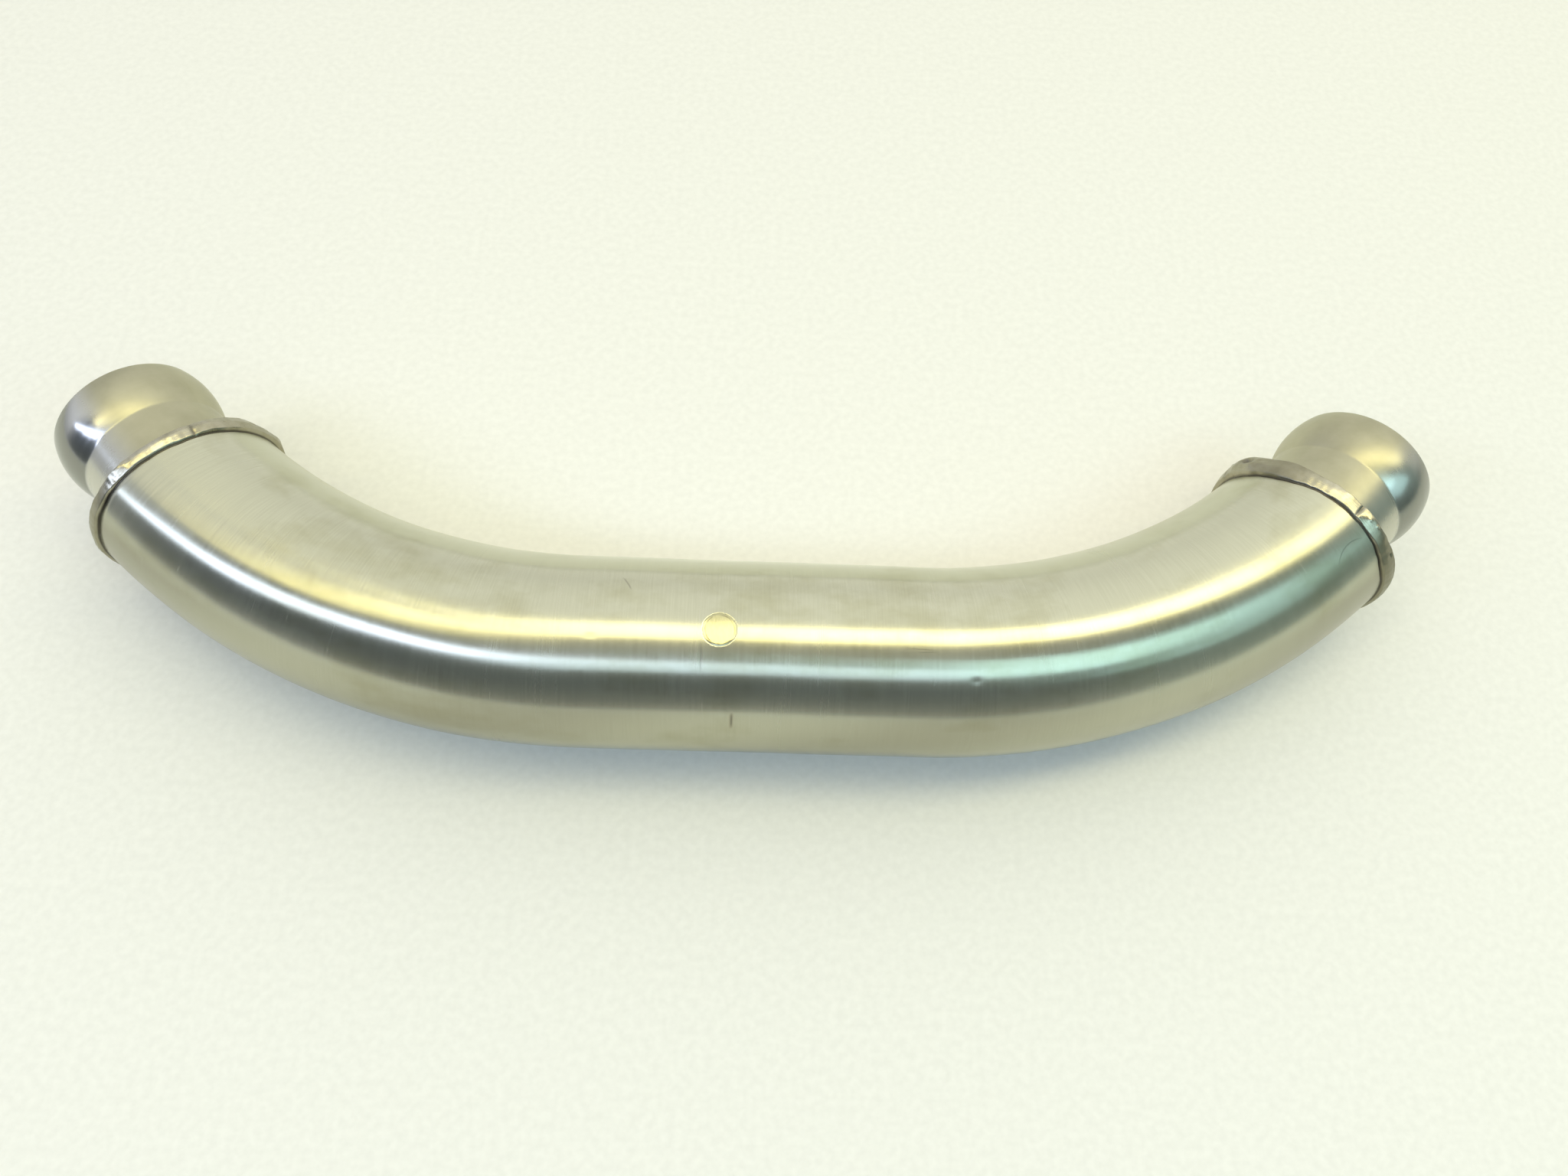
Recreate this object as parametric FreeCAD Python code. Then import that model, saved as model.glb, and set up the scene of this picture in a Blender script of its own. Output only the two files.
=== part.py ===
import FreeCAD, Part
import math
import os

# Motorcycle exhaust crossover pipe, in millimetres, +Z up.
# A bent steel tube carries a formed ball end at each side, held by a weld bead all the way round.
# The pipe lies flat: its straight run points along X and both ends turn towards +Y in a level plane.
# The origin is under the middle of the whole part, at the level that it lies on.

# Bent tube
TUBE_OD = 57.0
TUBE_WALL = 1.5
MID_RUN = 102.0  # straight run between the two bends
BEND_RADIUS = 188.0  # to the tube's centre line
BEND_ANGLE = 41.0
END_TURN = 5.5  # the tube's ends are trimmed, and the ball ends point, this much further round

# Formed ball ends
STUB_WALL = 1.5
RIM_SET_BACK = 0.5  # the rim is this much smaller than the tube, which leaves a ledge for the weld
NECK_OD = 44.5
NECK_LENGTH = 21.1  # from the tube's end to where the ball begins
SHOULDER_FILLET = 3.0  # outside, from the rim that meets the tube into the neck
CREASE_FILLET = 2.0  # outside, from the neck into the ball
BALL_RISE = 2.05  # how far the ball stands out past the neck
MOUTH_PAST_CENTRE = 7.5  # where the ball is cut off square

# Weld beads
BEAD_RADIUS = 2.8  # of the rounded bead's section
BEAD_SINK = 0.9  # depth of that section's centre under the tube's outside
BEAD_HEAVY_INSIDE = 0.8  # how far the bead is heavier towards the inside of the bend
BEAD_HEAVY_ABOVE = 0.5  # and towards the upper side

# Plug weld on top of the straight run
PLUG_DIAMETER = 8.6
PLUG_PLACE = -9.7  # along the run, from its middle
PLUG_LEAN = 6.7  # degrees from the top towards the front
PLUG_CROWN = 0.15  # stands proud of the tube
PLUG_ROOT = 0.6  # runs through on the inside

# Sizes that follow from the ones above
TUBE_RADIUS = TUBE_OD / 2
BORE_RADIUS = TUBE_RADIUS - TUBE_WALL
RIM_RADIUS = TUBE_RADIUS - RIM_SET_BACK
NECK_RADIUS = NECK_OD / 2
BALL_RADIUS = NECK_RADIUS + BALL_RISE
BALL_CENTRE = NECK_LENGTH + math.sqrt(BALL_RADIUS**2 - NECK_RADIUS**2)
MOUTH = BALL_CENTRE + MOUTH_PAST_CENTRE
MOUTH_RADIUS = math.sqrt(BALL_RADIUS**2 - MOUTH_PAST_CENTRE**2)
AXIS_ANGLE = BEND_ANGLE + END_TURN
BEAD_RING = TUBE_RADIUS - BEAD_SINK
SHOULDER = min(SHOULDER_FILLET, (RIM_RADIUS - NECK_RADIUS) / 2)

X_AXIS = FreeCAD.Vector(1, 0, 0)
Z_AXIS = FreeCAD.Vector(0, 0, 1)
BEND = math.radians(BEND_ANGLE)
AXIS = math.radians(AXIS_ANGLE)
END_X = MID_RUN / 2 + BEND_RADIUS * math.sin(BEND)
END_Y = BEND_RADIUS * (1 - math.cos(BEND))

# Where the origin goes: halfway between the straight run's front and the mouths' far lips, and at the
# lowest point of the weld beads
BACK = END_Y + MOUTH * math.sin(AXIS) + MOUTH_RADIUS * math.cos(AXIS)
LOWEST = BEAD_HEAVY_ABOVE - BEAD_RING - BEAD_RADIUS
TO_ORIGIN = FreeCAD.Vector(0, (TUBE_RADIUS - BACK) / 2, -LOWEST)


def end_placement(side):
    """Takes a piece made along +X from 0 to the end of the tube, on the left (-1) or the right (1)."""
    turn = AXIS_ANGLE if side > 0 else 180 - AXIS_ANGLE
    return FreeCAD.Placement(FreeCAD.Vector(side * END_X, END_Y, 0), FreeCAD.Rotation(Z_AXIS, turn))


def bent_rod(radius):
    """A solid rod along the tube's centre line, its ends trimmed square to the ball ends."""
    start = FreeCAD.Vector(-MID_RUN / 2, 0, 0)
    run = Part.makeCylinder(radius, MID_RUN, start, X_AXIS)
    bends = []
    trims = []
    for side in (-1, 1):
        foot = FreeCAD.Vector(side * MID_RUN / 2, 0, 0)
        section = Part.Face(Part.Wire(Part.makeCircle(radius, foot, X_AXIS)))
        hub = FreeCAD.Vector(foot.x, BEND_RADIUS, 0)
        bends.append(section.revolve(hub, Z_AXIS, side * AXIS_ANGLE))
        trim = Part.makeCylinder(2 * radius, BEND_RADIUS)
        trim.rotate(FreeCAD.Vector(), FreeCAD.Vector(0, 1, 0), 90)
        trim.Placement = end_placement(side).multiply(trim.Placement)
        trims.append(trim)
    return run.fuse(bends).cut(trims).removeSplitter()


def profile_point(along, out):
    return FreeCAD.Vector(along, out, 0)


def profile_arc(centre, radius, first, last):
    """An arc of a profile about (along, out), between two directions in degrees from the axis."""
    points = []
    for direction in (first, (first + last) / 2, last):
        turn = math.radians(direction)
        points.append(profile_point(centre[0] + radius * math.cos(turn), centre[1] + radius * math.sin(turn)))
    return Part.Arc(*points).toShape()


def stub_side(depth):
    """The ball end's outline from its rim to its mouth, lying depth under its outside."""
    neck = NECK_RADIUS - depth
    ball = BALL_RADIUS - depth
    rim = STUB_WALL - depth
    shoulder_centre = (STUB_WALL + SHOULDER, NECK_RADIUS + SHOULDER)
    crease_out = NECK_RADIUS + CREASE_FILLET
    reach = BALL_RADIUS + CREASE_FILLET
    crease_centre = (BALL_CENTRE - math.sqrt(reach**2 - crease_out**2), crease_out)
    to_crease = math.degrees(math.atan2(crease_out, crease_centre[0] - BALL_CENTRE))
    to_mouth = math.degrees(math.acos(MOUTH_PAST_CENTRE / ball))
    return [
        Part.makeLine(profile_point(rim, RIM_RADIUS), profile_point(rim, shoulder_centre[1])),
        profile_arc(shoulder_centre, SHOULDER + depth, 180, 270),
        Part.makeLine(profile_point(shoulder_centre[0], neck), profile_point(crease_centre[0], neck)),
        profile_arc(crease_centre, CREASE_FILLET + depth, 270, to_crease + 180),
        profile_arc((BALL_CENTRE, 0), ball, to_crease, to_mouth),
    ]


def turned(edges):
    """Revolves a closed profile about the axis."""
    wire = Part.Wire(Part.sortEdges(edges)[0])
    return Part.Face(wire).revolve(FreeCAD.Vector(), X_AXIS, 360)


def last_point(edges):
    return edges[-1].valueAt(edges[-1].LastParameter)


def ball_end():
    """Rim, shoulder, neck and ball formed from one wall, along +X from the tube's end."""
    outside = stub_side(0)
    inside = stub_side(STUB_WALL)
    rim = Part.makeLine(profile_point(STUB_WALL, RIM_RADIUS), profile_point(0, RIM_RADIUS))
    lip = Part.makeLine(last_point(outside), last_point(inside))
    return turned(outside + inside + [rim, lip])


def filled_ball_end():
    """The ball end's outside with nothing hollow, to shape the weld bead against."""
    outside = stub_side(0)
    corners = [
        last_point(outside),
        profile_point(MOUTH, 0),
        profile_point(0, 0),
        profile_point(0, RIM_RADIUS),
        profile_point(STUB_WALL, RIM_RADIUS),
    ]
    closing = [Part.makeLine(first, second) for first, second in zip(corners, corners[1:])]
    return turned(outside + closing)


def weld_bead(side, rod):
    """A rounded bead over the joint, heavier towards the inside of the bend, lying on tube and rim."""
    middle = FreeCAD.Vector(STUB_WALL / 2, side * BEAD_HEAVY_INSIDE, BEAD_HEAVY_ABOVE)
    bead = Part.makeTorus(BEAD_RING, BEAD_RADIUS, middle, X_AXIS)
    bead = bead.cut(filled_ball_end())
    bead.Placement = end_placement(side).multiply(bead.Placement)
    return bead.cut(rod)


def plug_drill():
    """The round hole for the plug weld, from the tube's axis out through its top."""
    lean = math.radians(PLUG_LEAN)
    outwards = FreeCAD.Vector(0, -math.sin(lean), math.cos(lean))
    foot = FreeCAD.Vector(PLUG_PLACE, 0, 0)
    return Part.makeCylinder(PLUG_DIAMETER / 2, TUBE_OD, foot, outwards)


def plug_weld(drill):
    """Weld metal that fills the hole, dressed to the tube's curve and run through a little inside."""
    foot = FreeCAD.Vector(PLUG_PLACE - PLUG_DIAMETER, 0, 0)
    outer = Part.makeCylinder(TUBE_RADIUS + PLUG_CROWN, 2 * PLUG_DIAMETER, foot, X_AXIS)
    inner = Part.makeCylinder(BORE_RADIUS - PLUG_ROOT, 2 * PLUG_DIAMETER, foot, X_AXIS)
    return drill.common(outer.cut(inner))


def crossover_pipe():
    rod = bent_rod(TUBE_RADIUS)
    drill = plug_drill()
    nodes = {
        "bent_tube": rod.cut([bent_rod(BORE_RADIUS), drill]),
        "plug_weld": plug_weld(drill),
    }
    for name, side in (("left", -1), ("right", 1)):
        stub = ball_end()
        stub.Placement = end_placement(side)
        nodes[name + "_ball_end"] = stub
        nodes[name + "_weld_bead"] = weld_bead(side, rod)
    return nodes


os.makedirs("parts", exist_ok=True)
for name, shape in crossover_pipe().items():
    shape.translate(TO_ORIGIN)
    solid = shape.Solids[0]
    print(name, len(shape.Solids), "solid", shape.isValid(), round(solid.Volume, 1))
    solid.exportStep("parts/" + name + ".step")
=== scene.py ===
import bpy
import math
import numpy as np
from mathutils import Matrix, Vector


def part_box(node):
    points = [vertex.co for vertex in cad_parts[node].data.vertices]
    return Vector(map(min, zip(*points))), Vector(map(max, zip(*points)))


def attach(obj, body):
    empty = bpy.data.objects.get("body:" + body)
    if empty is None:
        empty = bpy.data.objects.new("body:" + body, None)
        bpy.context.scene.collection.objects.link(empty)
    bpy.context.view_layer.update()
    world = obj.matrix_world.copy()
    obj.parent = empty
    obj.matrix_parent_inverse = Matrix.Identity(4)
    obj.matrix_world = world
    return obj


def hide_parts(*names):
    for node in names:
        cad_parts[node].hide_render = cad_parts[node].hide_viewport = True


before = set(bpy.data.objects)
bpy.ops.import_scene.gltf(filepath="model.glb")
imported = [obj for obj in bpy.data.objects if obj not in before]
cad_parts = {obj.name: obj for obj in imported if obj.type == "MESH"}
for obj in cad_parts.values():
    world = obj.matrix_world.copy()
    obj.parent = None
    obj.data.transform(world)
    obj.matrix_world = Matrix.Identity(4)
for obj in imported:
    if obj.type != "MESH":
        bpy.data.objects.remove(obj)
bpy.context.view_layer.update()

# Sizes are in millimetres and angles in degrees, as in the part. Points are worked out from the middle of the
# straight run's centre line, and to_frame() below takes them to the frame.
MILLIMETRE = 0.001

# Bent tube
TUBE_WALL = 1.5
MID_RUN = 102.0
BEND_RADIUS = 188.0
BEND_ANGLE = 41.0
END_TURN = 5.5
LIP_CHAMFER = 0.2

# Ball ends
STUB_WALL = 1.5
RIM_SET_BACK = 0.5
RIM_BEVEL = 0.12
NECK_OD = 44.5
NECK_LENGTH = 21.1
SHOULDER_FILLET = 2.9
CREASE_FILLET = 2.0
BALL_RISE = 2.05
MOUTH_PAST_CENTRE = 7.5

# Plug weld on top of the straight run
PLUG_RADIUS = 4.3
PLUG_PLACE = -9.7
PLUG_LEAN = 6.7

# What follows from these and from the frame
tube_low, tube_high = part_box("bent_tube")
TUBE_RADIUS = (tube_high.z - tube_low.z) / 2 / MILLIMETRE
CENTRE_LINE = Vector((0, tube_low.y + TUBE_RADIUS * MILLIMETRE, (tube_low.z + tube_high.z) / 2))
HALF_RUN = MID_RUN / 2
BEND = math.radians(BEND_ANGLE)
AXIS = math.radians(BEND_ANGLE + END_TURN)
BEND_LENGTH = BEND_RADIUS * BEND
HALF_LENGTH = HALF_RUN + BEND_LENGTH
END_X = HALF_RUN + BEND_RADIUS * math.sin(BEND)
END_Y = BEND_RADIUS * (1 - math.cos(BEND))
NECK_RADIUS = NECK_OD / 2
BALL_RADIUS = NECK_RADIUS + BALL_RISE
BALL_CENTRE = NECK_LENGTH + math.sqrt(BALL_RADIUS**2 - NECK_RADIUS**2)
RIM_RADIUS = TUBE_RADIUS - RIM_SET_BACK
ROUND = 2 * math.pi


def to_frame(points):
    """Takes points from millimetres about the centre line to metres in the frame."""
    return np.asarray(points) * MILLIMETRE + np.array(CENTRE_LINE)


def ease(low, high, value):
    """Goes smoothly from 0 at low to 1 at high: 3 t squared less 2 t cubed."""
    share = np.clip((value - low) / (high - low), 0, 1)
    return share * share * (3 - 2 * share)


def uneven(angle, fewest, most, seed):
    """A closed wave: sines with fewest to most periods a turn, each of a random height and phase."""
    dice = np.random.default_rng(seed)
    periods = np.arange(fewest, most + 1)
    heights = dice.normal(size=len(periods)) / math.sqrt(len(periods))
    phases = dice.uniform(0, ROUND, len(periods))
    return np.cos(angle[..., None] * periods + phases) @ heights


def through(angle, curve, blur):
    """A closed curve near the values given at angles in degrees.

    It is straight between them, then smoothed over blur degrees by damping its short waves.
    """
    turns = np.arange(0, 360, 0.5)
    straight = np.interp(turns, list(curve), list(curve.values()), period=360)
    periods = np.arange(len(turns) // 2 + 1)
    damping = np.exp(-0.5 * (periods * math.radians(blur)) ** 2)
    smooth = np.fft.irfft(np.fft.rfft(straight) * damping, len(turns))
    return np.interp(np.degrees(angle) % 360, turns, smooth, period=360)


def crowded(start, stop, step, fine_step, places, reach):
    """Stations from start to stop, step apart, and fine_step apart within reach of each of the places.

    A station that falls too close to the one before it is left out.
    """
    closest = 0.6 * fine_step
    stations = [np.linspace(start, stop, round((stop - start) / step) + 1)]
    for place in places:
        stations.append(np.arange(place - reach, place + reach, fine_step))
    merged = np.unique(np.concatenate(stations))
    merged = merged[(merged > start + fine_step / 2) & (merged < stop - fine_step / 2)]
    far_enough = np.diff(merged, prepend=start) > closest
    return np.concatenate([[start], merged[far_enough], [stop]])


def grid_piece(name, node, points, material, poles=(), uv=None, marks=None):
    """Makes a piece from points on a grid of rows and columns, whose columns close on themselves.

    Without poles the rows close on themselves too. Two poles close the first and the last row, each by a fan
    of triangles. uv and marks hold values for each point, and a pole takes the mean of the row next to it.
    Where the volume that the faces enclose comes out negative, they are all turned to point outwards.
    """
    rows, columns = points.shape[:2]
    corners = np.arange(rows * columns).reshape(rows, columns)
    wrapped = np.concatenate([corners, corners[:, :1]], axis=1)
    if not len(poles):
        wrapped = np.concatenate([wrapped, wrapped[:1]])
    quads = np.stack([wrapped[:-1, :-1], wrapped[1:, :-1], wrapped[1:, 1:], wrapped[:-1, 1:]], -1)
    quads = quads.reshape(-1, 4)
    faces = quads.tolist()
    if len(poles):
        first_pole, last_pole = rows * columns, rows * columns + 1
        first_row, last_row = wrapped[0].tolist(), wrapped[-1].tolist()
        faces += [(first_pole, start, end) for start, end in zip(first_row, first_row[1:])]
        faces += [(last_pole, end, start) for start, end in zip(last_row, last_row[1:])]
    places = np.concatenate([points.reshape(-1, 3), np.reshape(poles, (-1, 3))])
    corner = places[quads]
    face_areas = np.cross(corner[:, 2] - corner[:, 0], corner[:, 3] - corner[:, 1])
    volumes = np.einsum("ij,ij->i", corner[:, 0], face_areas)
    if volumes.sum() < 0:
        faces = [face[::-1] for face in faces]
    mesh = bpy.data.meshes.new(name)
    mesh.from_pydata(to_frame(places), [], faces)

    def of_all_points(values):
        flat = values.reshape(rows * columns, -1)
        if len(poles):
            flat = np.concatenate([flat, [flat[:columns].mean(0)], [flat[-columns:].mean(0)]])
        return flat

    if uv is not None:
        layer = mesh.uv_layers.new(name="along_and_round")
        point_of = np.empty(len(mesh.loops), dtype=np.int32)
        mesh.loops.foreach_get("vertex_index", point_of)
        layer.data.foreach_set("uv", of_all_points(uv)[point_of].ravel())
    for mark, values in (marks or {}).items():
        kind, field = ("FLOAT_VECTOR", "vector") if values.ndim == 3 else ("FLOAT", "value")
        carried = mesh.attributes.new(mark, kind, "POINT")
        carried.data.foreach_set(field, of_all_points(values).ravel())
    mesh.shade_smooth()
    mesh.materials.append(material)
    piece = bpy.data.objects.new(name, mesh)
    bpy.context.scene.collection.objects.link(piece)
    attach(piece, "root")
    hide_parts(node)
    return piece


def linear(code):
    """An sRGB hex colour as linear red, green, blue and alpha."""
    channels = [int(code[start:start + 2], 16) / 255 for start in (0, 2, 4)]
    return (*[c / 12.92 if c <= 0.04045 else ((c + 0.055) / 1.055) ** 2.4 for c in channels], 1.0)


def add_node(tree, kind, inputs=None, stops=None, **settings):
    """Adds a node with its settings. Each input is a value, or another node's output to link to it."""
    made = tree.nodes.new("ShaderNode" + kind)
    for name, value in settings.items():
        setattr(made, name, value)
    for name, value in (inputs or {}).items():
        if isinstance(value, bpy.types.NodeSocket):
            tree.links.new(value, made.inputs[name])
        else:
            made.inputs[name].default_value = value
    if stops:
        ramp = made.color_ramp
        while len(ramp.elements) < len(stops):
            ramp.elements.new(1.0)
        for element, (position, colour) in zip(ramp.elements, stops):
            element.position = position
            element.color = colour
    return made


def new_material(name):
    """A material with an empty node tree, and that tree."""
    material = bpy.data.materials.new(name)
    material.use_nodes = True
    tree = material.node_tree
    tree.nodes.clear()
    return material, tree


def per(*sizes):
    """Noise scale for features of these sizes in millimetres."""
    return tuple(1 / (size * MILLIMETRE) for size in sizes)


def scratch(tree, place, along, girth, heading, bow, half_length, half_width):
    """A mask that is 1 on a thin curved line of the tube: where a ball of radius bow cuts it, near one point.

    heading is the line's turn from the tube's axis towards the front. The ball lies on its front side. The
    line fades out over the outer half of its length.
    """
    turn, lie = math.radians(girth), math.radians(heading)
    middle = np.array([along, -TUBE_RADIUS * math.sin(turn), TUBE_RADIUS * math.cos(turn)])
    to_front = np.array([0, -math.cos(turn), -math.sin(turn)])
    hub = middle + bow * (math.cos(lie) * to_front - np.array([math.sin(lie), 0, 0]))
    from_hub = add_node(tree, "VectorMath", {0: place, 1: tuple(hub * MILLIMETRE)}, operation="DISTANCE")
    beside = add_node(tree, "Math", {0: from_hub.outputs["Value"], 1: bow * MILLIMETRE}, operation="SUBTRACT")
    aside = add_node(tree, "Math", {0: beside.outputs[0]}, operation="ABSOLUTE")
    thin = add_node(tree, "MapRange", {
        "Value": aside.outputs[0], "From Max": half_width * MILLIMETRE, "To Min": 1.0, "To Max": 0.0})
    away = add_node(tree, "VectorMath", {0: place, 1: tuple(middle * MILLIMETRE)}, operation="DISTANCE")
    short = add_node(tree, "MapRange", {
        "Value": away.outputs["Value"], "From Min": half_length / 2 * MILLIMETRE,
        "From Max": half_length * MILLIMETRE, "To Min": 1.0, "To Max": 0.0})
    return add_node(tree, "Math", {0: thin.outputs[0], 1: short.outputs[0]}, operation="MULTIPLY").outputs[0]


# Scratches on the tube: along, girth, heading, bow, half length, half width
SCRATCHES = (
    (175.3, 24.9, -10.0, 8.0, 6.5, 0.30),
    (46.0, 14.4, 2.0, 200.0, 4.5, 0.16),
    (48.0, 16.0, -3.0, 200.0, 3.0, 0.14),
    (-36.0, -21.6, 60.0, 30.0, 3.0, 0.35),
)
SCRATCH_STAIN = 0.45
# What rubbing and heat film add to the roughness where they are full
RUBBED_ROUGHNESS = -0.22
HEAT_FILM_ROUGHNESS = 0.2
SWIRL_TURN = 0.6  # of the plug weld's grinding swirls, in radians


def brushed_stainless():
    """Austenitic stainless tube, brushed round its girth with a belt.

    The brush lines stretch each reflection along the tube and leave it sharp across, and they show as faint
    hair lines. Handling leaves cloudy patches a little darker than the rest and a few scratches, and painted
    shade darkens it low on the front.
    """
    material, tree = new_material("brushed_stainless_tube")
    place = add_node(tree, "Attribute", attribute_name="straightened").outputs["Vector"]
    # Real brush lines are about 0.1 mm apart: drawn four times as coarse, to show in the render
    fine = add_node(tree, "Mapping", {"Vector": place, "Scale": per(0.42, 14, 14)})
    lines = add_node(tree, "TexNoise", {
        "Vector": fine.outputs[0], "Scale": 1.0, "Detail": 3.0, "Roughness": 0.6}).outputs["Fac"]
    broad = add_node(tree, "Mapping", {"Vector": place, "Scale": per(6, 60, 60)})
    bands = add_node(tree, "TexNoise", {
        "Vector": broad.outputs[0], "Scale": 1.0, "Detail": 2.0}).outputs["Fac"]
    cloud = add_node(tree, "Mapping", {"Vector": place, "Scale": per(30, 18, 18)})
    clouds = add_node(tree, "TexNoise", {
        "Vector": cloud.outputs[0], "Scale": 1.0, "Detail": 4.0, "Roughness": 0.6}).outputs["Fac"]
    hair = add_node(tree, "ValToRGB", {"Fac": lines}, stops=[
        (0.28, linear("C5C5AF")), (0.50, linear("C9C9B3")), (0.72, linear("CDCDB7"))])
    patch = add_node(tree, "ValToRGB", {"Fac": clouds}, stops=[
        (0.32, linear("F0EFE7")), (0.50, linear("FFFFFF"))])
    tint = add_node(tree, "Mix", {
        "Factor": 1.0, 6: hair.outputs["Color"], 7: patch.outputs["Color"]},
        data_type="RGBA", blend_type="MULTIPLY")
    mark = add_node(tree, "Attribute", attribute_name="mark").outputs["Fac"]
    for line in SCRATCHES:
        mask = scratch(tree, place, *line)
        faint = add_node(tree, "Math", {0: mask, 1: SCRATCH_STAIN}, operation="MULTIPLY")
        mark = add_node(tree, "Math", {0: mark, 1: faint.outputs[0]}, operation="MAXIMUM").outputs[0]
    # Scratches, stains and the painted shade low on the front all darken towards this colour
    worn_and_shaded = add_node(tree, "Mix", {
        "Factor": mark, 6: tint.outputs[2], 7: linear("6E685A")}, data_type="RGBA")
    dull = add_node(tree, "Math", {0: lines, 1: bands}, operation="ADD")
    rough = add_node(tree, "MapRange", {
        "Value": dull.outputs[0], "From Min": 0.6, "From Max": 1.4, "To Min": 0.22, "To Max": 0.28})
    relief = add_node(tree, "Bump", {"Height": lines, "Strength": 0.1, "Distance": 0.02 * MILLIMETRE})
    tangent = add_node(tree, "Tangent", direction_type="UV_MAP", uv_map="along_and_round")
    steel = add_node(tree, "BsdfPrincipled", {
        "Base Color": worn_and_shaded.outputs[2], "Metallic": 1.0, "Roughness": rough.outputs[0], "Anisotropic": 0.8,
        "Normal": relief.outputs[0], "Tangent": tangent.outputs[0]})
    add_node(tree, "OutputMaterial", {"Surface": steel.outputs[0]})
    return material


def satin_stainless():
    """The ball ends' stainless, formed over a die: an even satin, which rubbing has made shinier on the outer
    flank; its colour is also painted paler there as a sheen, which brightens the highlight.

    Below that flank painted shade darkens the ball towards grey. A close look shows faint rings from the
    forming and small cloudy patches.
    """
    material, tree = new_material("satin_formed_stainless")
    place = add_node(tree, "Attribute", attribute_name="straightened").outputs["Vector"]
    ring = add_node(tree, "Mapping", {"Vector": place, "Scale": per(0.9, 40, 40)})
    rings = add_node(tree, "TexNoise", {
        "Vector": ring.outputs[0], "Scale": 1.0, "Detail": 2.0}).outputs["Fac"]
    cloud = add_node(tree, "Mapping", {"Vector": place, "Scale": per(14, 14, 14)})
    clouds = add_node(tree, "TexNoise", {
        "Vector": cloud.outputs[0], "Scale": 1.0, "Detail": 4.0, "Roughness": 0.6}).outputs["Fac"]
    grain = add_node(tree, "Mapping", {"Vector": place, "Scale": per(0.7, 0.7, 0.7)})
    grains = add_node(tree, "TexNoise", {
        "Vector": grain.outputs[0], "Scale": 1.0, "Detail": 2.0}).outputs["Fac"]
    colour = add_node(tree, "ValToRGB", {"Fac": clouds}, stops=[
        (0.32, linear("ADAA8F")), (0.55, linear("B7B49A")), (0.75, linear("BFBCA2"))])
    rubbed_and_sheen = add_node(tree, "Attribute", attribute_name="rubbed_and_sheen").outputs["Fac"]
    # Painted sheen: on the shinier flank the colour turns paler, which brightens its highlight
    paler = add_node(tree, "Mix", {
        "Factor": rubbed_and_sheen, 6: colour.outputs["Color"], 7: linear("DADAD2")}, data_type="RGBA")
    # Painted shade: lower on the ball the colour darkens towards grey
    film_and_shade = add_node(tree, "Attribute", attribute_name="film_and_shade").outputs["Fac"]
    filmed_and_shaded = add_node(tree, "Mix", {
        "Factor": film_and_shade, 6: paler.outputs[2], 7: linear("94958C")}, data_type="RGBA")
    both = add_node(tree, "Math", {0: rings, 1: clouds}, operation="ADD")
    satin = add_node(tree, "MapRange", {
        "Value": both.outputs[0], "From Min": 0.6, "From Max": 1.4, "To Min": 0.35, "To Max": 0.43})
    rough = add_node(tree, "Math", {
        0: rubbed_and_sheen, 1: RUBBED_ROUGHNESS, 2: satin.outputs[0]}, operation="MULTIPLY_ADD")
    relief = add_node(tree, "Bump", {"Height": grains, "Strength": 0.05, "Distance": 0.03 * MILLIMETRE})
    steel = add_node(tree, "BsdfPrincipled", {
        "Base Color": filmed_and_shaded.outputs[2], "Metallic": 1.0, "Roughness": rough.outputs[0],
        "Normal": relief.outputs[0]})
    add_node(tree, "OutputMaterial", {"Surface": steel.outputs[0]})
    return material


def weld_metal():
    """Stainless filler, filed along the bead: shiny facets with file strokes, grey-brown under a heat film.

    Painted shade follows its foot on the tube as a dark line, and pits are painted darker.
    """
    material, tree = new_material("filed_stainless_weld")
    place = add_node(tree, "Attribute", attribute_name="straightened").outputs["Vector"]
    stroke = add_node(tree, "Mapping", {"Vector": place, "Scale": per(0.4, 5, 5)})
    strokes = add_node(tree, "TexNoise", {
        "Vector": stroke.outputs[0], "Scale": 1.0, "Detail": 3.0}).outputs["Fac"]
    lump = add_node(tree, "Mapping", {"Vector": place, "Scale": per(4, 4, 4)})
    lumps = add_node(tree, "TexNoise", {
        "Vector": lump.outputs[0], "Scale": 1.0, "Detail": 4.0, "Roughness": 0.6}).outputs["Fac"]
    colour = add_node(tree, "ValToRGB", {"Fac": lumps}, stops=[
        (0.30, linear("A8A48E")), (0.50, linear("BEBAA4")), (0.70, linear("C9C5B2"))])
    film_and_shade = add_node(tree, "Attribute", attribute_name="film_and_shade").outputs["Fac"]
    filmed_and_shaded = add_node(tree, "Mix", {
        "Factor": film_and_shade, 6: colour.outputs["Color"], 7: linear("7F7B64")}, data_type="RGBA")
    # Painted shade: the line along the foot, the skirt and the underside darken towards this colour, and pits
    # too
    mark = add_node(tree, "Attribute", attribute_name="mark").outputs["Fac"]
    darkened = add_node(tree, "Mix", {
        "Factor": mark, 6: filmed_and_shaded.outputs[2], 7: linear("3C372F")}, data_type="RGBA")
    filed = add_node(tree, "MapRange", {
        "Value": strokes, "From Min": 0.3, "From Max": 0.7, "To Min": 0.17, "To Max": 0.28})
    rough = add_node(tree, "Math", {
        0: film_and_shade, 1: HEAT_FILM_ROUGHNESS, 2: filed.outputs[0]}, operation="MULTIPLY_ADD")
    relief = add_node(tree, "Bump", {"Height": strokes, "Strength": 0.35, "Distance": 0.08 * MILLIMETRE})
    steel = add_node(tree, "BsdfPrincipled", {
        "Base Color": darkened.outputs[2], "Metallic": 1.0, "Roughness": rough.outputs[0],
        "Normal": relief.outputs[0]})
    add_node(tree, "OutputMaterial", {"Surface": steel.outputs[0]})
    return material


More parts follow.
